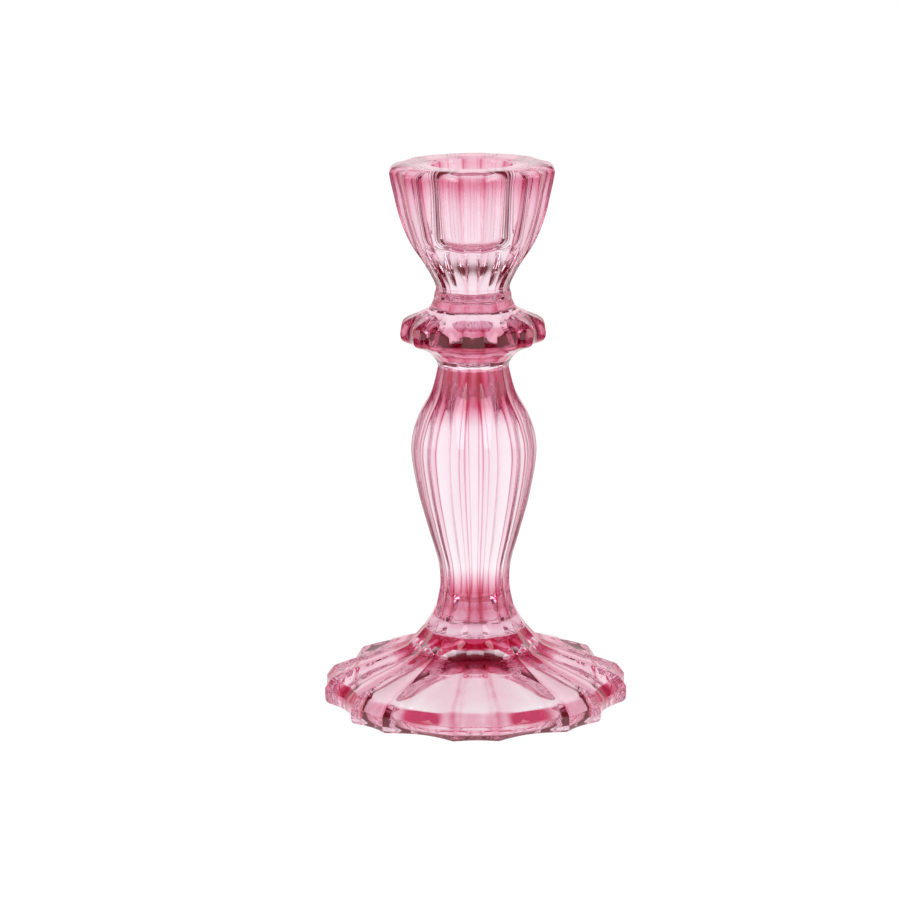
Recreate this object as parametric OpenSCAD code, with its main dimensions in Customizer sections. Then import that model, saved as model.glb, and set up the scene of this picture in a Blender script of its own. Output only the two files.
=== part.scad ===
// Pressed glass candlestick for one dinner candle, built up from the foot.
// Every section carries the same pattern: eight pairs of ridges with a narrow
// hollow flute inside each pair and a wide hollow flute between the pairs.

/* [Foot] */
// Radius over the lobes of the foot
foot_r = 45; // [43:0.5:50]
// Height of the lobes at the edge of the foot
foot_edge_h = 8.4; // [7.5:0.1:9.5]
// Height of the top of the hub, where the foot wafer sits
hub_h = 27; // [26:0.5:30]
// Height of the hollow under the foot
hollow_h = 13; // [8:0.5:14]

/* [Stem] */
// Height of the stem between its two wafers
stem_h = 71; // [60:1:90]
// Radius over the ridges at the belly of the stem
belly_r = 18.5; // [16:0.5:21]
// Radius over the ridges at the narrow lower end
lower_neck_r = 10.3; // [9:0.1:11]

/* [Drip collar] */
// Height of the collar between its two wafers
collar_h = 16.5; // [14:0.5:20]
// Radius over the lobes of the collar
collar_r = 21.3; // [19:0.1:24]

/* [Candle cup] */
// Height of the cup above its wafer
cup_h = 38; // [34:0.5:44]
// Radius over the ridges just under the rim
cup_r = 23.9; // [22:0.1:27]
// Width of the socket for the candle
socket_d = 23; // [21:0.1:25]
// Depth of the socket below the rim
socket_depth = 23; // [18:0.5:28]

/* [Joining wafers] */
// Thickness of each disc of glass that joins two sections
wafer_h = 2.5; // [1.5:0.1:4]
// Radius of the neck at the upper end of the stem
upper_neck_r = 10.4; // [9.5:0.1:11.5]

/* [Hidden] */
$fn = 96;

GLASS = [0.93, 0.55, 0.68, 0.6];

// Ridge pattern: angles within one 45 degree sector, from the middle of a narrow flute
sectors = 8;
sector = 360 / sectors;
ridge_a = 8.5;
flute_angles = [-8.5, -5.5, -2, 2, 5.5, 8.5, 11, 15, 20, 25, 30, 34];

// Levels at which the sections meet
foot_wafer_z = hub_h;
stem_z = foot_wafer_z + wafer_h;
collar_wafer_z = stem_z + stem_h;
collar_z = collar_wafer_z + wafer_h;
cup_wafer_z = collar_z + collar_h;
cup_z = cup_wafer_z + wafer_h;
rim_z = cup_z + cup_h;
hub_r = 12.2;
stem_foot_r = 11.3;
collar_foot_r = 11.3;
collar_top_r = 11.9;
cup_neck_r = 10.9;
cup_foot_r = 11.3;

// How deep a flute is at angle a: 1 in the middle of a wide flute, narrow_part in a narrow one
narrow_part = 0.4;
function in_sector(a) = abs((a + sector / 2) % sector - sector / 2);
function parabola(x) = 1 - x * x;
function flute(a) =
    let (b = in_sector(a))
    b < ridge_a
        ? narrow_part * parabola(b / ridge_a)
        : parabola((sector / 2 - b) / (sector / 2 - ridge_a));

// A smooth curve (Catmull-Rom) through rows of numbers, with n steps between rows
function blend_rows(a, b, c, d, t) =
    0.5 * (2 * b + (c - a) * t + (2 * a - 5 * b + 4 * c - d) * t * t + (3 * b - a - 3 * c + d) * t * t * t);
function smooth(rows, n) = [
    for (i = [0 : len(rows) - 2])
    for (k = [0 : n - 1])
    blend_rows(rows[max(i - 1, 0)], rows[i], rows[i + 1], rows[min(i + 2, len(rows) - 1)], k / n),
    rows[len(rows) - 1]
];

// One ring of points at a row [height, ridge radius, flute depth, flute drop]: a flute is cut in
// by depth times the radius, and its floor lies lower than the ridges by the drop
function ring(row) = [
    for (s = [0 : sectors - 1])
    for (a = flute_angles)
    let (turn = s * sector + a, cut = flute(turn + 360), r = row[1] * (1 - row[2] * cut))
    [r * sin(turn), -r * cos(turn), row[0] - row[3] * cut]
];

// Closed fluted solid through rows that rise from its lower face to its upper face
module fluted(rows) {
    per = sectors * len(flute_angles);
    last = len(rows) - 1;
    points = [for (row = rows) each ring(row)];
    walls = [
        for (i = [0 : last - 1])
        for (j = [0 : per - 1])
        let (a = i * per + j, b = i * per + (j + 1) % per)
        each [[a, b + per, b], [a, a + per, b + per]]
    ];
    floor_face = [for (j = [0 : per - 1]) j];
    top_face = [for (j = [per - 1 : -1 : 0]) last * per + j];
    polyhedron(points = points, faces = concat(walls, [floor_face, top_face]));
}

// Rows are [height, ridge radius, flute depth, flute drop]
edge_rows = [
    [0, foot_r - 1.2, 0.085, 0],
    [0.5, foot_r - 0.4, 0.085, 0],
    [1.6, foot_r, 0.085, 0],
    [foot_edge_h - 4, foot_r, 0.09, 0.9],
    [foot_edge_h - 3.2, foot_r - 0.2, 0.09, 1],
    [foot_edge_h - 0.8, foot_r - 2, 0.09, 1.5],
    [foot_edge_h - 0.1, foot_r - 2.8, 0.085, 1.8],
    [foot_edge_h + 0.2, foot_r - 3.6, 0.075, 1.8]
];
// The lobes slope up to the petals, whose flutes are scooped out between the ridges
petal_rows = smooth([
    [foot_edge_h + 1.4, foot_r - 6.6, 0.06, 1.9],
    [foot_edge_h + 3.1, foot_r - 11.4, 0.03, 2],
    [foot_edge_h + 5.2, foot_r - 17.4, 0.03, 1.6],
    [hub_h - 10.4, 20.5, 0.04, 1],
    [hub_h - 7.6, 17.4, 0.05, 0.4],
    [hub_h - 4.2, 14.4, 0.05, 0],
    [hub_h, hub_r, 0.035, 0]
], 2);
// The foot stands on a broad ring; inside it the glass is hollowed in line with the petals
hollow_rows = smooth([
    [hollow_h, 0],
    [hollow_h - 0.2, 6],
    [hollow_h - 1, 13],
    [hollow_h - 2.8, 20],
    [hollow_h - 5.4, 27.5],
    [hollow_h - 8.6, 33.8],
    [hollow_h - 11.6, 36.2],
    [hollow_h - 12.7, 37.2]
], 2);
hollow_mouth_r = 38.2;

module hollow() {
    side = [for (row = hollow_rows) [max(row[1], 0), row[0]]];
    rotate_extrude() polygon(concat([[0, -1], [hollow_mouth_r, -1], [hollow_mouth_r, 0]], [
        for (i = [len(side) - 1 : -1 : 0]) side[i]
    ]));
}

module foot() {
    color(GLASS) difference() {
        fluted(concat(edge_rows, petal_rows));
        hollow();
    }
}

// Disc that is fused between two sections, slightly waisted or swollen by side_r
module wafer(z, low_r, side_r, high_r) {
    outline = [
        for (row = smooth([[0, low_r], [wafer_h / 2, side_r], [wafer_h, high_r]], 4)) [row[1], row[0]]
    ];
    translate([0, 0, z]) rotate_extrude() polygon(concat([[0, 0]], outline, [[0, wafer_h]]));
}

module foot_wafer() {
    color(GLASS) wafer(foot_wafer_z, 11.8, 11.3, 11);
}

stem_rows = smooth([
    [stem_z, stem_foot_r, 0.03, 0],
    [stem_z + stem_h * 0.08, lower_neck_r, 0.05, 0],
    [stem_z + stem_h * 0.18, lower_neck_r + 0.5, 0.06, 0],
    [stem_z + stem_h * 0.32, belly_r - 5, 0.06, 0],
    [stem_z + stem_h * 0.48, belly_r - 2, 0.06, 0],
    [stem_z + stem_h * 0.66, belly_r, 0.06, 0],
    [stem_z + stem_h * 0.78, belly_r - 1.9, 0.06, 0],
    [stem_z + stem_h * 0.89, belly_r - 6, 0.06, 0],
    [stem_z + stem_h, upper_neck_r, 0.04, 0]
], 3);

module stem() {
    color(GLASS) fluted(stem_rows);
}

module collar_wafer() {
    color(GLASS) wafer(collar_wafer_z, 10, 10.3, 10.9);
}

collar_rows = [
    [collar_z, collar_foot_r, 0.03, 0],
    [collar_z + 2, 13.3, 0.03, 0],
    [collar_z + 3.2, 15.6, 0.04, 0],
    [collar_z + 4.3, 17.9, 0.05, 0],
    [collar_z + 5.2, collar_r - 1.1, 0.06, 0],
    [collar_z + 6.2, collar_r - 0.2, 0.07, 0],
    [collar_z + 7.6, collar_r, 0.08, 0],
    [collar_z + 9.2, collar_r - 0.2, 0.09, 0],
    [collar_z + 10.6, collar_r - 0.7, 0.1, 0],
    [collar_z + 11.6, collar_r - 1.9, 0.09, 0],
    [collar_z + 12.4, 17.8, 0.07, 0],
    [collar_z + 13.3, 15.6, 0.05, 0],
    [collar_z + 14.4, 13.4, 0.04, 0],
    [collar_z + collar_h, collar_top_r, 0.03, 0]
];

module drip_collar() {
    color(GLASS) fluted(collar_rows);
}

module cup_wafer() {
    color(GLASS) wafer(cup_wafer_z, 11.5, 11.1, 10.9);
}

cup_side_rows = smooth([
    [cup_z, cup_foot_r, 0.03, 0],
    [cup_z + cup_h * 0.07, cup_neck_r, 0.04, 0],
    [cup_z + cup_h * 0.22, 13.8, 0.06, 0],
    [cup_z + cup_h * 0.4, 18.2, 0.08, 0],
    [cup_z + cup_h * 0.6, 21.2, 0.085, 0],
    [cup_z + cup_h * 0.8, 23, 0.085, 0],
    [rim_z - 3.4, cup_r, 0.08, 0]
], 3);
cup_rim_rows = [
    [rim_z - 2, cup_r, 0.07, 0],
    [rim_z - 1.1, cup_r - 0.6, 0.06, 0],
    [rim_z - 0.4, cup_r - 1.7, 0.05, 0],
    [rim_z, cup_r - 3.5, 0.04, 0]
];

// Blind socket for the candle: a plain bore with a rounded foot and an eased mouth
socket_r = socket_d / 2;
socket_floor_z = rim_z - socket_depth;
socket_round = 4;
mouth_ease = 0.8;

module socket_space() {
    translate([0, 0, socket_floor_z + socket_round])
        cylinder(r = socket_r, h = socket_depth - socket_round - mouth_ease);
    translate([0, 0, socket_floor_z]) rotate_extrude() {
        square([socket_r - socket_round, socket_round]);
        translate([socket_r - socket_round, socket_round]) intersection() {
            circle(r = socket_round);
            translate([0, -socket_round]) square(socket_round);
        }
    }
    translate([0, 0, rim_z - mouth_ease])
        cylinder(r1 = socket_r, r2 = socket_r + mouth_ease, h = mouth_ease);
    translate([0, 0, rim_z]) cylinder(r = socket_r + mouth_ease, h = 1);
}

module candle_cup() {
    color(GLASS) difference() {
        fluted(concat(cup_side_rows, cup_rim_rows));
        socket_space();
    }
}

foot();
foot_wafer();
stem();
collar_wafer();
drip_collar();
cup_wafer();
candle_cup();
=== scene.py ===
import math

import bpy
from mathutils import Euler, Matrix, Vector


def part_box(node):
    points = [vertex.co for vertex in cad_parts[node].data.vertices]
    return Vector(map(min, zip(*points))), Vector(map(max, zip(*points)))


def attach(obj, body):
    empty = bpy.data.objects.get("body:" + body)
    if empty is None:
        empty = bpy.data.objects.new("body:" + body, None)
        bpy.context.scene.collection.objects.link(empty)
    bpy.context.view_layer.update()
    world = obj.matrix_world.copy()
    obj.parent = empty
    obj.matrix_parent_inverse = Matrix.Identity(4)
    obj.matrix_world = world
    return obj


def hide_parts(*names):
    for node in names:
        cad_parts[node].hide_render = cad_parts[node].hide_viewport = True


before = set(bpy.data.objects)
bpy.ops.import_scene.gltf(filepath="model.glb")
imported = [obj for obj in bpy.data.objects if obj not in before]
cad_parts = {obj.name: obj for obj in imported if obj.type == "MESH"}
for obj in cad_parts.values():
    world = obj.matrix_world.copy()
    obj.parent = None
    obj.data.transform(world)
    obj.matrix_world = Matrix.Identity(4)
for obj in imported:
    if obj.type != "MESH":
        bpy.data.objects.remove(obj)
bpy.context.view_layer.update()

MM = 0.001

# Studio. The candlestick stands on a pale table that runs into a white backdrop. The lens is long
# and looks slightly down, so the mouth of the cup and the top of the foot both show.
CAMERA_AWAY = 0.92
CAMERA_UP = 0.288
LENS = 129
SENSOR = 36
AIM = Vector((-7.0 * MM, 0, 75.3 * MM))
ROLL = math.radians(-0.5)
# White as the lens sees it, and as the glass does
SEEN_WHITE = 1.05
SURROUND = 1.09
DEEP_ROOM = (0.16, 0.002, 0.018)
# Parts of a sideways, forward or upward direction between which a wall, panel or ceiling begins
Y_LOW, Y_HIGH = 0.45, 0.8
X_LOW, X_HIGH = 0.92, 0.98
Z_LOW, Z_HIGH = 0.4, 0.7
SOFTBOX_POWER = 2.0
SOFTBOX_SIZE = (0.3, 0.7)
SOFTBOX_PLACE = (0.8, -0.35, 0.45)
SOFTBOX_AIM = Vector((0, 0, 0.08))
TABLE_HALF = 2.0
TABLE_GAP = 0.2 * MM
# Radii on the table of the painted shadow under the foot and of the painted pool of light around it
SHADOW = 0.92
SHADOW_IN, SHADOW_OUT = 0.035, 0.06
POOL_IN, POOL_OUT = 0.06, 0.14

camera = bpy.data.objects.new("camera", bpy.data.cameras.new("camera"))
bpy.context.collection.objects.link(camera)
camera.location = (0, -CAMERA_AWAY, CAMERA_UP)
camera.data.lens = LENS
camera.data.sensor_width = SENSOR
camera.rotation_mode = "QUATERNION"
look = (AIM - camera.location).to_track_quat("-Z", "Y")
camera.rotation_quaternion = look @ Euler((0, 0, ROLL)).to_quaternion()
camera.data.clip_start = 0.05
camera.data.clip_end = 20
scene = bpy.context.scene
scene.camera = camera
scene.view_settings.view_transform = "Standard"
scene.cycles.max_bounces = 40
scene.cycles.transmission_bounces = 40
scene.cycles.glossy_bounces = 16
scene.cycles.transparent_max_bounces = 16
scene.cycles.caustics_refractive = True
scene.cycles.caustics_reflective = True
scene.cycles.sample_clamp_indirect = 4
scene.cycles.use_denoising = True
scene.cycles.denoising_input_passes = "RGB"


def maths_in(tree):
    """Gives a function that adds one maths node to a tree, fed by numbers or by other sockets."""
    def maths(operation, a, b=0.0):
        node = tree.nodes.new("ShaderNodeMath")
        node.operation = operation
        for socket, value in zip(node.inputs, (a, b)):
            if isinstance(value, (int, float)):
                socket.default_value = value
            else:
                tree.links.new(value, socket)
        return node.outputs[0]

    return maths


def vector_in(tree, operation, vector):
    """One vector node of a tree, on one vector."""
    node = tree.nodes.new("ShaderNodeVectorMath")
    node.operation = operation
    tree.links.new(vector, node.inputs[0])
    return node


def fade(tree, value, start, end):
    """A soft step: 0 where the value is at start, 1 where it is at end."""
    node = tree.nodes.new("ShaderNodeMapRange")
    node.interpolation_type = "SMOOTHSTEP"
    node.inputs["From Min"].default_value = start
    node.inputs["From Max"].default_value = end
    tree.links.new(value, node.inputs["Value"])
    return node.outputs["Result"]


def reach_along_axes(tree, vector):
    """How far a vector goes along X, Y and Z, one way or the other."""
    parts = tree.nodes.new("ShaderNodeSeparateXYZ")
    tree.links.new(vector_in(tree, "ABSOLUTE", vector).outputs[0], parts.inputs[0])
    return parts.outputs


def white_or_deep(tree, lit):
    """The white of a lit part of the studio, or its deep pink dark where lit is 0."""
    node = tree.nodes.new("ShaderNodeMix")
    node.data_type = "RGBA"
    node.inputs["A"].default_value = (*DEEP_ROOM, 1)
    node.inputs["B"].default_value = (SURROUND, SURROUND, SURROUND, 1)
    tree.links.new(lit, node.inputs["Factor"])
    return node.outputs["Result"]


# The table glows, though it is no lamp, and is white to the lens. To light that has bent in the glass
# it glows white in a painted pool of light around the foot and in line with the walls, deep pink
# elsewhere, and a little dimmer right under the foot, in a painted shadow.
table_mesh = bpy.data.meshes.new("table_top")
table_mesh.from_pydata(
    [(x * TABLE_HALF, y * TABLE_HALF, 0) for x, y in ((-1, -1), (1, -1), (1, 1), (-1, 1))],
    [],
    [(0, 1, 2, 3)],
)
table = bpy.data.objects.new("table_top", table_mesh)
table.location.z = -TABLE_GAP
bpy.context.collection.objects.link(table)
glowing_table = bpy.data.materials.new("glowing_table_painted_light")
glowing_table.use_nodes = True
tree = glowing_table.node_tree
tree.nodes.clear()
maths = maths_in(tree)
spot = tree.nodes.new("ShaderNodeTexCoord").outputs["Object"]
away = vector_in(tree, "LENGTH", spot).outputs["Value"]
way = reach_along_axes(tree, vector_in(tree, "NORMALIZE", spot).outputs[0])
# Painted pool of light: the glow is white near the foot and in line with the walls, deep pink elsewhere
lit = maths("MAXIMUM", fade(tree, away, POOL_OUT, POOL_IN), fade(tree, way["Y"], Y_LOW, Y_HIGH))
# Painted shadow: the glow is dimmed right under the foot
under = tree.nodes.new("ShaderNodeMapRange")
under.inputs["From Min"].default_value = SHADOW_IN
under.inputs["From Max"].default_value = SHADOW_OUT
under.inputs["To Min"].default_value = SHADOW
tree.links.new(away, under.inputs["Value"])
dimmed = vector_in(tree, "SCALE", white_or_deep(tree, lit))
tree.links.new(under.outputs["Result"], dimmed.inputs["Scale"])
seen = tree.nodes.new("ShaderNodeMix")
seen.data_type = "RGBA"
seen.inputs["B"].default_value = (SEEN_WHITE, SEEN_WHITE, SEEN_WHITE, 1)
tree.links.new(tree.nodes.new("ShaderNodeLightPath").outputs["Is Camera Ray"], seen.inputs["Factor"])
tree.links.new(dimmed.outputs[0], seen.inputs["A"])
# The table emits its painted pool of light and painted shadow itself; no lamp lights it
glow = tree.nodes.new("ShaderNodeEmission")
tree.links.new(seen.outputs["Result"], glow.inputs["Color"])
tree.links.new(glow.outputs[0], tree.nodes.new("ShaderNodeOutputMaterial").inputs["Surface"])
table_mesh.materials.append(glowing_table)

# The room has white walls before and behind the glass, and a narrow white panel on each side; its
# corners and its ceiling are deep pink and dark, so that strongly bent light comes back dark.
room = bpy.data.worlds.new("white_room")
scene.world = room
room.use_nodes = True
tree = room.node_tree
tree.nodes.clear()
maths = maths_in(tree)
way = reach_along_axes(tree, tree.nodes.new("ShaderNodeTexCoord").outputs["Generated"])
walls = maths("MAXIMUM", fade(tree, way["Y"], Y_LOW, Y_HIGH), fade(tree, way["X"], X_LOW, X_HIGH))
lit = maths("MULTIPLY", walls, fade(tree, way["Z"], Z_HIGH, Z_LOW))
around = tree.nodes.new("ShaderNodeBackground")
tree.links.new(white_or_deep(tree, lit), around.inputs["Color"])
seen = tree.nodes.new("ShaderNodeBackground")
seen.inputs["Color"].default_value = (1, 1, 1, 1)
seen.inputs["Strength"].default_value = SEEN_WHITE
both = tree.nodes.new("ShaderNodeMixShader")
tree.links.new(tree.nodes.new("ShaderNodeLightPath").outputs["Is Camera Ray"], both.inputs[0])
tree.links.new(around.outputs[0], both.inputs[1])
tree.links.new(seen.outputs[0], both.inputs[2])
tree.links.new(both.outputs[0], tree.nodes.new("ShaderNodeOutputWorld").inputs["Surface"])

for name, side in (("left_softbox", -1), ("right_softbox", 1)):
    lamp = bpy.data.lights.new(name, "AREA")
    lamp.shape = "RECTANGLE"
    lamp.size, lamp.size_y = SOFTBOX_SIZE
    lamp.energy = SOFTBOX_POWER
    box = bpy.data.objects.new(name, lamp)
    bpy.context.collection.objects.link(box)
    box.location = (side * SOFTBOX_PLACE[0], SOFTBOX_PLACE[1], SOFTBOX_PLACE[2])
    box.rotation_euler = (SOFTBOX_AIM - box.location).to_track_quat("-Z", "Y").to_euler()

# Foot. A pressed foot of pink glass, hollow underneath, with eight pairs of lobes on its edge; petals
# are scooped out between the ridges that run up to the hub. It is fused to the wafer above it.
PAIRS = 8
RIDGE_ANGLE = 8.5
AROUND = 384
CREASE_ANGLE = math.radians(40)
SEAM_GAP = 0.02
MERGE_GAP = 0.0005 * MM
POLE_R = 0.5 * MM
IOR = 1.5
# Light let through by plain and by fully stained skin, and taken per metre of glass
PALE = (0.99, 0.965, 0.98)
DEEP = (0.34, 0.005, 0.022)
TAKEN = (2.5, 7.0, 5.0)
DENSITY_MARGIN = 1.25
# Where the stain lies: all over and more on the ridges. Painted shade in the same pink: a fine line on
# each ridge, and a pool in the flutes
STAIN_OVERALL = 0.6
STAIN_ON_RIDGES = 0.4
RIDGE_POWER = 3
LINE_POWER = 20
FLUTE_SHADE_POWER = 4
# How it runs in streaks down the wall, and deepens where the skin is seen edge on
STREAK_SCALE = 260
STREAK_STRETCH = 0.12
STREAK_LOW, STREAK_RISE = 0.45, 1.1
STAIN_POWER = 1.7
EDGE_POWER = 2.5
EDGE_PART = 0.55
STAIN_STOPS = (0.0, 0.1, 0.25, 0.5, 0.75, 1.0)


def fluted_tree():
    """Geometry Nodes: revolves a profile into a closed solid and presses pairs of flutes in it."""
    tree = bpy.data.node_groups.new("Fluted glass", "GeometryNodeTree")
    face = tree.interface
    face.new_socket("Profile", in_out="INPUT", socket_type="NodeSocketGeometry")
    for name, kind, value in (
        ("Steps around", "NodeSocketInt", AROUND),
        ("Pairs of ridges", "NodeSocketInt", PAIRS),
        ("Ridge angle", "NodeSocketFloat", RIDGE_ANGLE),
        ("Narrow flute", "NodeSocketFloat", 0.4),
        ("Ridge softness", "NodeSocketFloat", 0.04),
        # Ridge line: painted shade, a fine dark pink line along each ridge
        ("Ridge line", "NodeSocketFloat", 0.12),
        ("Waviness", "NodeSocketFloat", 0.05 * MM),
        ("Wave scale", "NodeSocketFloat", 110.0),
        ("Seed", "NodeSocketFloat", 0.0),
    ):
        face.new_socket(name, in_out="INPUT", socket_type=kind).default_value = value
    face.new_socket("Glass", in_out="INPUT", socket_type="NodeSocketMaterial")
    face.new_socket("Geometry", in_out="OUTPUT", socket_type="NodeSocketGeometry")
    nodes, links = tree.nodes, tree.links
    given = nodes.new("NodeGroupInput")
    maths = maths_in(tree)

    def at_ring(attribute, kind):
        """A value of the profile's own points, read at the ring that a point of the grid is on."""
        pick = nodes.new("GeometryNodeSampleIndex")
        pick.data_type = kind
        pick.domain = "POINT"
        links.new(given.outputs["Profile"], pick.inputs["Geometry"])
        links.new(attribute, pick.inputs["Value"])
        links.new(ring, pick.inputs["Index"])
        return pick.outputs["Value"]

    def row_value(name):
        """One of the numbers that each row of the profile carries."""
        node = nodes.new("GeometryNodeInputNamedAttribute")
        node.data_type = "FLOAT"
        node.inputs["Name"].default_value = name
        return at_ring(node.outputs["Attribute"], "FLOAT")

    size = nodes.new("GeometryNodeAttributeDomainSize")
    size.component = "MESH"
    links.new(given.outputs["Profile"], size.inputs[0])
    rings = size.outputs["Point Count"]
    grid = nodes.new("GeometryNodeMeshGrid")
    links.new(maths("ADD", given.outputs["Steps around"], 1), grid.inputs["Vertices X"])
    links.new(rings, grid.inputs["Vertices Y"])
    index = nodes.new("GeometryNodeInputIndex").outputs[0]
    column = maths("FLOOR", maths("DIVIDE", maths("ADD", index, 0.5), rings))
    ring = maths("ROUND", maths("SUBTRACT", index, maths("MULTIPLY", column, rings)))
    turn = maths("DIVIDE", column, given.outputs["Steps around"])

    # Where a point lies in its sector: 0 in the middle of a narrow flute, 0.5 in a wide one
    sector = maths("FRACT", maths("ADD", maths("MULTIPLY", turn, given.outputs["Pairs of ridges"]), 0.5))
    across = maths("ABSOLUTE", maths("SUBTRACT", sector, 0.5))
    spread = maths("MULTIPLY", given.outputs["Ridge angle"], given.outputs["Pairs of ridges"])
    ridge = maths("DIVIDE", spread, 360)
    in_narrow = maths("DIVIDE", across, ridge)
    in_wide = maths("DIVIDE", maths("SUBTRACT", 0.5, across), maths("SUBTRACT", 0.5, ridge))
    narrow = maths("SUBTRACT", 1, maths("MULTIPLY", in_narrow, in_narrow))
    narrow = maths("MULTIPLY", narrow, given.outputs["Narrow flute"])
    wide = maths("SUBTRACT", 1, maths("MULTIPLY", in_wide, in_wide))
    is_wide = maths("GREATER_THAN", across, ridge)
    narrow = maths("MULTIPLY", narrow, maths("SUBTRACT", 1, is_wide))
    sharp = maths("ADD", narrow, maths("MULTIPLY", wide, is_wide))
    soft = given.outputs["Ridge softness"]
    rounded = maths("SQRT", maths("ADD", maths("MULTIPLY", sharp, sharp), maths("MULTIPLY", soft, soft)))
    cut = maths("SUBTRACT", rounded, soft)

    where = nodes.new("GeometryNodeInputPosition").outputs[0]
    parts = nodes.new("ShaderNodeSeparateXYZ")
    links.new(at_ring(where, "FLOAT_VECTOR"), parts.inputs[0])
    depth = maths("MULTIPLY", row_value("depth"), cut)
    drop = maths("MULTIPLY", row_value("drop"), cut)
    raised = maths("SUBTRACT", 1, cut)
    crest = maths("MULTIPLY", maths("POWER", raised, RIDGE_POWER), STAIN_ON_RIDGES)
    crest = maths("ADD", crest, STAIN_OVERALL)
    # Painted shade: a fine dark pink line along each ridge
    painted_ridge_shade = maths("MULTIPLY", maths("POWER", raised, LINE_POWER), given.outputs["Ridge line"])
    stain = maths("MULTIPLY", row_value("stain"), crest)
    # Painted shade: the pink deepens in the middle of the flutes, drawing the dark lens shapes that bent
    # light gives
    stain = maths("ADD", stain, maths("MULTIPLY", row_value("pool"), maths("POWER", cut, FLUTE_SHADE_POWER)))
    stain = maths("ADD", stain, painted_ridge_shade)
    joint = row_value("joint")
    at_points = nodes.new("GeometryNodeFieldOnDomain")
    at_points.data_type = "FLOAT"
    at_points.domain = "POINT"
    links.new(joint, at_points.inputs["Value"])
    radius = maths("MULTIPLY", parts.outputs["X"], maths("SUBTRACT", 1, depth))
    height = maths("SUBTRACT", parts.outputs["Z"], drop)
    angle = maths("MULTIPLY", turn, math.tau)

    def around_axis(r):
        place = nodes.new("ShaderNodeCombineXYZ")
        links.new(maths("MULTIPLY", r, maths("SINE", angle)), place.inputs["X"])
        links.new(maths("MULTIPLY", r, maths("MULTIPLY", maths("COSINE", angle), -1)), place.inputs["Y"])
        links.new(height, place.inputs["Z"])
        return place.outputs[0]

    # Hand-pressed glass is never quite true: a slow wave runs over the walls, not over the joints
    noise = nodes.new("ShaderNodeTexNoise")
    noise.noise_dimensions = "4D"
    links.new(around_axis(radius), noise.inputs["Vector"])
    links.new(given.outputs["Seed"], noise.inputs["W"])
    links.new(given.outputs["Wave scale"], noise.inputs["Scale"])
    noise.inputs["Detail"].default_value = 1.0
    wave = maths("MULTIPLY", maths("SUBTRACT", noise.outputs["Fac"], 0.5), given.outputs["Waviness"])
    wave = maths("MULTIPLY", wave, maths("SUBTRACT", 1, joint))
    wave = maths("MULTIPLY", wave, maths("GREATER_THAN", radius, POLE_R))
    moved = nodes.new("GeometryNodeSetPosition")
    links.new(grid.outputs["Mesh"], moved.inputs["Geometry"])
    links.new(around_axis(maths("ADD", radius, wave)), moved.inputs["Position"])

    # A face belongs to a joint when all of its corners do
    store = nodes.new("GeometryNodeStoreNamedAttribute")
    store.data_type = "FLOAT"
    store.domain = "FACE"
    store.inputs["Name"].default_value = "joint"
    links.new(moved.outputs[0], store.inputs["Geometry"])
    links.new(maths("GREATER_THAN", at_points.outputs["Value"], 0.75), store.inputs["Value"])
    # The stored value is the stain plus the shade painted in the flutes and along the ridges
    keep_stain_and_shade = nodes.new("GeometryNodeStoreNamedAttribute")
    keep_stain_and_shade.data_type = "FLOAT"
    keep_stain_and_shade.domain = "POINT"
    keep_stain_and_shade.inputs["Name"].default_value = "stain"
    links.new(store.outputs[0], keep_stain_and_shade.inputs["Geometry"])
    links.new(stain, keep_stain_and_shade.inputs["Value"])
    merge = nodes.new("GeometryNodeMergeByDistance")
    merge.inputs["Distance"].default_value = MERGE_GAP
    links.new(keep_stain_and_shade.outputs[0], merge.inputs["Geometry"])
    smooth = nodes.new("GeometryNodeSetShadeSmooth")
    links.new(merge.outputs[0], smooth.inputs["Geometry"])
    edge = nodes.new("GeometryNodeInputMeshEdgeAngle")
    crease = nodes.new("GeometryNodeSetShadeSmooth")
    crease.domain = "EDGE"
    links.new(smooth.outputs[0], crease.inputs["Geometry"])
    is_gentle = maths("LESS_THAN", edge.outputs["Unsigned Angle"], CREASE_ANGLE)
    links.new(is_gentle, crease.inputs["Shade Smooth"])
    real = nodes.new("GeometryNodeRealizeInstances")
    links.new(crease.outputs[0], real.inputs["Geometry"])
    paint = nodes.new("GeometryNodeSetMaterial")
    links.new(real.outputs[0], paint.inputs["Geometry"])
    links.new(given.outputs["Glass"], paint.inputs["Material"])
    result = nodes.new("NodeGroupOutput")
    links.new(paint.outputs[0], result.inputs["Geometry"])
    return tree


fluted = fluted_tree()


def smooth_rows(rows, steps):
    """Rows on a Catmull-Rom curve through the rows given, with so many steps between two of them."""
    def between(p, q, r, s, t):
        bend = (2 * p - 5 * q + 4 * r - s) * t * t
        return 0.5 * (2 * q + (r - p) * t + bend + (3 * q - p - 3 * r + s) * t ** 3)

    drawn = []
    for i in range(len(rows) - 1):
        near = rows[max(i - 1, 0)], rows[i], rows[i + 1], rows[min(i + 2, len(rows) - 1)]
        for k in range(steps):
            drawn.append([between(*values, k / steps) for values in zip(*near)])
    return drawn + [list(rows[-1])]


def cap_rows(row, steps=6):
    """Rows of a flat face from the axis out to a row, marked as a fused joint."""
    height, radius, depth, drop, *skin = row
    inner = [[height, radius * k / steps, depth, 0.0, 1.0] for k in range(steps)]
    return inner + [[height, radius, depth, drop, 1.0, *skin]]


def wall_rows(rows):
    """Rows of an open wall, which bends light."""
    return [[*row[:4], 0.0, *row[4:]] for row in rows]


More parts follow.
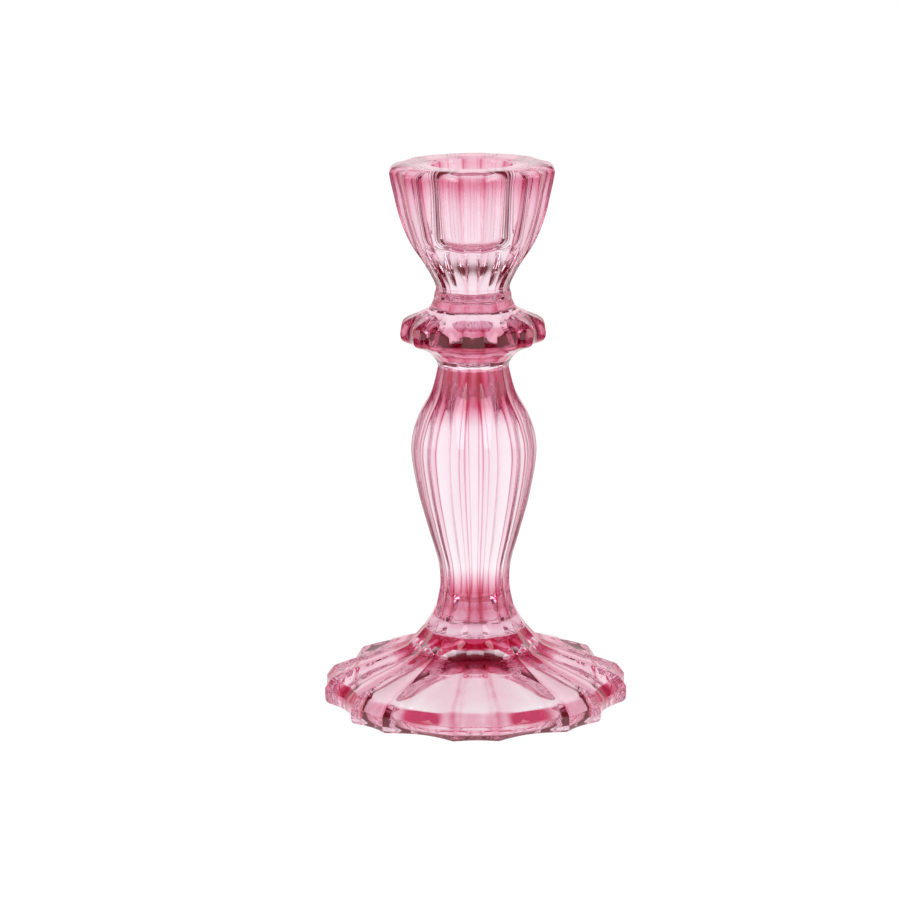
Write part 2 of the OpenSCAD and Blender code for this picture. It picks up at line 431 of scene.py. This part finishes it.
def turned_glass(name, rows, glass, **inputs):
    """A plain mesh from rows [height, ridge radius, flute depth, flute drop, joint, stain, painted shade
    in the flutes], with lengths in mm; what a row leaves out is 0."""
    profile = bpy.data.meshes.new(name)
    profile.from_pydata(
        [(r[1] * MM, 0, r[0] * MM) for r in rows], [(i, i + 1) for i in range(len(rows) - 1)], []
    )
    for column, key in enumerate(("depth", "drop", "joint", "stain", "pool"), 2):
        unit = MM if key == "drop" else 1
        values = profile.attributes.new(key, "FLOAT", "POINT")
        values.data.foreach_set("value", [r[column] * unit if column < len(r) else 0.0 for r in rows])
    maker = bpy.data.objects.new(name + "_profile", profile)
    bpy.context.collection.objects.link(maker)
    modifier = maker.modifiers.new("Fluted glass", "NODES")
    modifier.node_group = fluted
    sockets = {s.name: s.identifier for s in fluted.interface.items_tree if s.in_out == "INPUT"}
    modifier[sockets["Glass"]] = glass
    for key, value in inputs.items():
        modifier[sockets[key.replace("_", " ")]] = value
    graph = bpy.context.evaluated_depsgraph_get()
    mesh = bpy.data.meshes.new_from_object(maker.evaluated_get(graph), depsgraph=graph)
    mesh.name = name
    bpy.data.objects.remove(maker)
    piece = bpy.data.objects.new(name, mesh)
    bpy.context.collection.objects.link(piece)
    return piece


def stain_and_shade_tree():
    """Shader group: the pink stain on the skin of the glass, deeper where it is seen edge on, with shade
    painted in the same pink in the flutes and along the ridges.
    """
    tree = bpy.data.node_groups.new("Pink stain", "ShaderNodeTree")
    tree.interface.new_socket("Edge on", in_out="INPUT", socket_type="NodeSocketFloat")
    tree.interface.new_socket("Color", in_out="OUTPUT", socket_type="NodeSocketColor")
    nodes, links = tree.nodes, tree.links
    given = nodes.new("NodeGroupInput")
    maths = maths_in(tree)
    # This value holds the stain and the painted shade of the flutes and ridges
    stain = nodes.new("ShaderNodeAttribute")
    stain.attribute_name = "stain"
    joint = nodes.new("ShaderNodeAttribute")
    joint.attribute_name = "joint"
    place = nodes.new("ShaderNodeTexCoord")
    stretch = nodes.new("ShaderNodeMapping")
    stretch.inputs["Scale"].default_value = (1, 1, STREAK_STRETCH)
    links.new(place.outputs["Object"], stretch.inputs["Vector"])
    runs = nodes.new("ShaderNodeTexNoise")
    runs.inputs["Scale"].default_value = STREAK_SCALE
    runs.inputs["Detail"].default_value = 2
    links.new(stretch.outputs[0], runs.inputs["Vector"])
    streak = maths("ADD", maths("MULTIPLY", runs.outputs["Fac"], STREAK_RISE), STREAK_LOW)
    edge = maths("MULTIPLY", maths("POWER", given.outputs["Edge on"], EDGE_POWER), EDGE_PART)
    skin = maths("POWER", maths("MULTIPLY", stain.outputs["Fac"], streak), STAIN_POWER)
    total = maths("MINIMUM", maths("ADD", skin, edge), 1)
    total = maths("MULTIPLY", total, maths("SUBTRACT", 1, joint.outputs["Fac"]))
    tint = nodes.new("ShaderNodeValToRGB")
    stops = tint.color_ramp.elements
    for amount in STAIN_STOPS[1:-1]:
        stops.new(amount)
    for stop, amount in zip(stops, STAIN_STOPS):
        stop.color = (*[DEEP[i] ** amount * PALE[i] for i in range(3)], 1)
    links.new(total, tint.inputs["Fac"])
    result = nodes.new("NodeGroupOutput")
    links.new(tint.outputs["Color"], result.inputs["Color"])
    return tree


pink_stain_and_shade = stain_and_shade_tree()


def pink_glass(name):
    """Smooth glass, faintly pink right through; faces fused to the next section don't bend light."""
    mat = bpy.data.materials.new(name)
    mat.use_nodes = True
    nodes, links = mat.node_tree.nodes, mat.node_tree.links
    shader = nodes["Principled BSDF"]
    shader.inputs["Roughness"].default_value = 0.0
    shader.inputs["Transmission Weight"].default_value = 1.0
    shader.inputs["IOR"].default_value = IOR
    # Base colour: the pink stain, with painted shade in the flutes and along the ridges
    stain = nodes.new("ShaderNodeGroup")
    stain.node_tree = pink_stain_and_shade
    facing = nodes.new("ShaderNodeLayerWeight")
    facing.inputs["Blend"].default_value = 0.5
    links.new(facing.outputs["Facing"], stain.inputs["Edge on"])
    links.new(stain.outputs["Color"], shader.inputs["Base Color"])
    joint = nodes.new("ShaderNodeAttribute")
    joint.attribute_name = "joint"
    ior = nodes.new("ShaderNodeMapRange")
    ior.inputs["To Min"].default_value = IOR
    ior.inputs["To Max"].default_value = 1.0
    links.new(joint.outputs["Fac"], ior.inputs["Value"])
    links.new(ior.outputs["Result"], shader.inputs["IOR"])
    density = max(TAKEN) * DENSITY_MARGIN
    inside = nodes.new("ShaderNodeVolumeAbsorption")
    inside.inputs["Color"].default_value = (*[1 - t / density for t in TAKEN], 1)
    inside.inputs["Density"].default_value = density
    links.new(inside.outputs[0], nodes["Material Output"].inputs["Volume"])
    return mat


def settle(piece, node):
    """The piece stands for its CAD solid and rides on the one rigid body."""
    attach(piece, "root")
    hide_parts(node)


foot_glass = pink_glass("foot_glass")
hub_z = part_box("foot")[1].z / MM
foot_r = 45.0
edge_h = 8.4
hollow_h = 13.0
# Rows: height, ridge radius, flute depth, flute drop, stain, painted shade pooled in the flutes
foot_edge = smooth_rows([
    [0.0, foot_r - 1.2, 0.085, 0, 0.15, 0],
    [0.5, foot_r - 0.4, 0.085, 0, 0.15, 0],
    [1.6, foot_r, 0.085, 0, 0.15, 0],
    # These four rows paint shade in the flutes of the edge, the dark pink lens shapes of bent light
    [edge_h - 4.0, foot_r, 0.09, 0.9, 0.5, 0.6],
    [edge_h - 3.2, foot_r - 0.2, 0.09, 1.0, 0.58, 2.0],
    [edge_h - 0.8, foot_r - 2.0, 0.09, 1.5, 0.58, 2.0],
    [edge_h - 0.1, foot_r - 2.8, 0.085, 1.8, 0.35, 0.4],
    [edge_h + 0.2, foot_r - 3.6, 0.075, 1.8, 0.15, 0],
    [edge_h + 1.4, 38.4, 0.06, 1.9, 0.2, 0],
    [edge_h + 3.1, 33.6, 0.03, 2.0, 0.28, 0],
    [edge_h + 5.2, 27.6, 0.03, 1.6, 0.28, 0],
    [hub_z - 12.5, 25.3, 0.032, 1.4, 0.3, 0],
    [hub_z - 12.1, 24.3, 0.034, 1.35, 0.6, 0],
    [hub_z - 10.4, 20.5, 0.04, 1.0, 1.2, 0],
    [hub_z - 9.6, 19.5, 0.045, 0.8, 0.8, 0],
    [hub_z - 9.1, 18.9, 0.045, 0.7, 0.15, 0],
    [hub_z - 7.9, 17.7, 0.05, 0.45, 0.15, 0],
    [hub_z - 7.4, 17.2, 0.05, 0.35, 1.2, 0],
    [hub_z - 5.2, 15.3, 0.05, 0, 1.4, 0],
    [hub_z - 4.7, 14.9, 0.05, 0, 0.2, 0],
    [hub_z - 1.6, 12.95, 0.04, 0, 0.15, 0],
    [hub_z - 1.0, 12.65, 0.04, 0, 0.5, 0],
    [hub_z - SEAM_GAP, 12.2, 0.035, 0, 0.8, 0],
], 5)
hollow = smooth_rows([
    [hollow_h, 0.0, 0, 0, 0.5],
    [hollow_h - 0.2, 6, 0, 0, 0.5],
    [hollow_h - 1.0, 13, 0, 0, 0.4],
    [hollow_h - 2.8, 20, 0, 0, 0.15],
    [hollow_h - 5.4, 27.5, 0, 0, 0.1],
    [hollow_h - 8.6, 33.8, 0, 0, 0.1],
    [1.4, 36.2, 0, 0, 0.1],
    [0.3, 37.2, 0, 0, 0.1],
    [0.0, 38.2, 0, 0, 0.2],
], 5)
rows = wall_rows(hollow) + wall_rows(foot_edge[:-1]) + cap_rows(foot_edge[-1])[::-1]
foot = turned_glass("foot", rows, foot_glass, Ridge_line=0.1)
settle(foot, "foot")


def section(name, wall, glass, slot_name, **inputs):
    """A solid section between two fused faces, from the rows of its wall."""
    rows = cap_rows(wall[0]) + wall_rows(wall[1:-1]) + cap_rows(wall[-1])[::-1]
    settle(turned_glass(name, rows, glass, **inputs), name)


# Foot wafer. A short disc of gathered pink glass, deeply stained, that joins the hub to the stem. It
# is fused to both while hot, so its two flat faces vanish in the glass.
wafer_glass = pink_glass("wafer_glass")
low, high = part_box("foot_wafer")
z0, z1 = low.z / MM, high.z / MM
section("foot_wafer", smooth_rows([
    [z0, 12.15, 0.035, 0, 0.7],
    [(z0 + z1) / 2, 11.6, 0.02, 0, 0.85],
    [z1 - SEAM_GAP, 11.3, 0.03, 0, 0.9],
], 6), wafer_glass, "wafer_glass")

# Stem. The fluted baluster, solid, pressed with the same sixteen flutes as the foot; the stain is
# deepest at its two narrow ends, where it is fused to a wafer.
stem_glass = pink_glass("stem_glass")
low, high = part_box("stem")
z0, span = low.z / MM, (high.z - low.z) / MM
section("stem", smooth_rows([
    [z0, 11.3, 0.03, 0, 1.0],
    [z0 + span * 0.08, 10.3, 0.05, 0, 0.5],
    [z0 + span * 0.18, 10.8, 0.06, 0, 0.02],
    [z0 + span * 0.32, 13.6, 0.06, 0, 0.0],
    [z0 + span * 0.48, 16.6, 0.06, 0, 0.0],
    [z0 + span * 0.66, 18.5, 0.06, 0, 0.08],
    [z0 + span * 0.78, 16.6, 0.06, 0, 0.15],
    [z0 + span * 0.89, 12.5, 0.06, 0, 1.0],
    [z0 + span - SEAM_GAP, 10.4, 0.04, 0, 0.8],
], 10), stem_glass, "stem_glass", Ridge_line=0.6, Waviness=0.12 * MM)

# Collar wafer. The disc of gathered pink glass between the stem and the drip collar, nearly clear of
# stain. It is fused to both while hot.
low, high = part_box("collar_wafer")
z0, z1 = low.z / MM, high.z / MM
section("collar_wafer", smooth_rows([
    [z0, 10.4, 0.04, 0, 0.2], [(z0 + z1) / 2, 10.6, 0.02, 0, 0.1], [z1 - SEAM_GAP, 11.3, 0.03, 0, 0.1],
], 6), wafer_glass, "wafer_glass")

# Drip collar. A solid knop of deeply stained pink glass with eight pairs of lobes, which catches the
# wax. It is pressed like the foot and fused between two wafers; its lobes are a little rippled.
collar_glass = pink_glass("collar_glass")
low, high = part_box("drip_collar")
z0, z1 = low.z / MM, high.z / MM
section("drip_collar", smooth_rows([
    [z0, 11.3, 0.03, 0, 0.2],
    [z0 + 1.0, 12.2, 0.03, 0, 0.15],
    [z0 + 2.0, 13.3, 0.03, 0, 0.15],
    [z0 + 3.2, 15.6, 0.04, 0, 0.4],
    [z0 + 4.3, 17.9, 0.05, 0, 0.7],
    [z0 + 5.2, 20.2, 0.06, 0, 0.8],
    [z0 + 6.2, 21.1, 0.07, 0, 0.85],
    [z0 + 7.6, 21.3, 0.08, 0, 0.85],
    [z0 + 9.2, 21.1, 0.09, 0, 0.85],
    [z0 + 10.6, 20.6, 0.1, 0, 0.8],
    [z0 + 11.6, 19.4, 0.09, 0, 0.65],
    [z0 + 12.4, 17.8, 0.07, 0, 0.15],
    [z0 + 13.3, 15.6, 0.05, 0, 0.05],
    [z0 + 14.4, 13.4, 0.04, 0, 0.05],
    [z0 + 15.4, 12.4, 0.03, 0, 0.1],
    [z1 - SEAM_GAP, 11.9, 0.03, 0, 0.15],
], 4), collar_glass, "collar_glass", Waviness=0.14 * MM, Wave_scale=330.0)

# Cup wafer. The disc of gathered pink glass between the drip collar and the candle cup, nearly clear
# of stain. It is fused to both while hot.
low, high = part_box("cup_wafer")
z0, z1 = low.z / MM, high.z / MM
section("cup_wafer", smooth_rows([
    [z0, 11.9, 0.03, 0, 0.15], [(z0 + z1) / 2, 11.4, 0.02, 0, 0.1], [z1 - SEAM_GAP, 11.3, 0.03, 0, 0.3],
], 6), wafer_glass, "wafer_glass")

# Candle cup. A thick fluted bell of pink glass with a plain blind socket for the candle, pressed in
# from the top with a rounded foot and an eased mouth. It is fused to the cup wafer.
cup_glass = pink_glass("cup_glass")
low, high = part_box("candle_cup")
z0, rim_z = low.z / MM, high.z / MM
span = rim_z - z0
outside = smooth_rows([
    [z0, 11.3, 0.03, 0, 0.35],
    [z0 + span * 0.07, 10.9, 0.04, 0, 0.15],
    [z0 + span * 0.22, 13.8, 0.06, 0, 0.1],
    [z0 + span * 0.4, 18.2, 0.08, 0, 0.15],
    [z0 + span * 0.6, 21.2, 0.085, 0, 0.22],
    [z0 + span * 0.8, 23, 0.085, 0, 0.36],
    [rim_z - 3.4, 23.9, 0.08, 0, 0.65],
    [rim_z - 2.0, 23.9, 0.07, 0, 0.65],
    [rim_z - 1.1, 23.3, 0.06, 0, 0.35],
    [rim_z - 0.4, 22.2, 0.05, 0, 0.15],
    [rim_z, 20.4, 0.04, 0, 0.1],
    [rim_z, 17.4, 0.02, 0, 0.08],
    [rim_z - 0.1, 13.6, 0.0, 0, 0.08],
    [rim_z - 0.5, 12.3, 0.0, 0, 0.1],
    [rim_z - 1.3, 11.6, 0.0, 0, 0.2],
    [rim_z - 6, 11.5, 0.0, 0, 0.15],
    [rim_z - 12, 11.5, 0.0, 0, 0.05],
    [rim_z - 18, 11.5, 0.0, 0, 0.06],
], 8)
corner = [
    [rim_z - 19 - 4 * math.sin(a), 7.5 + 4 * math.cos(a), 0, 0, 0.06]
    for a in [math.pi / 2 * k / 10 for k in range(11)]
]
base = [[rim_z - 23, 7.5 * k / 6, 0, 0, 0.05] for k in range(5, -1, -1)]
rows = cap_rows(outside[0]) + wall_rows(outside[1:] + corner + base)
cup = turned_glass("candle_cup", rows, cup_glass, Ridge_line=0.2)
settle(cup, "candle_cup")
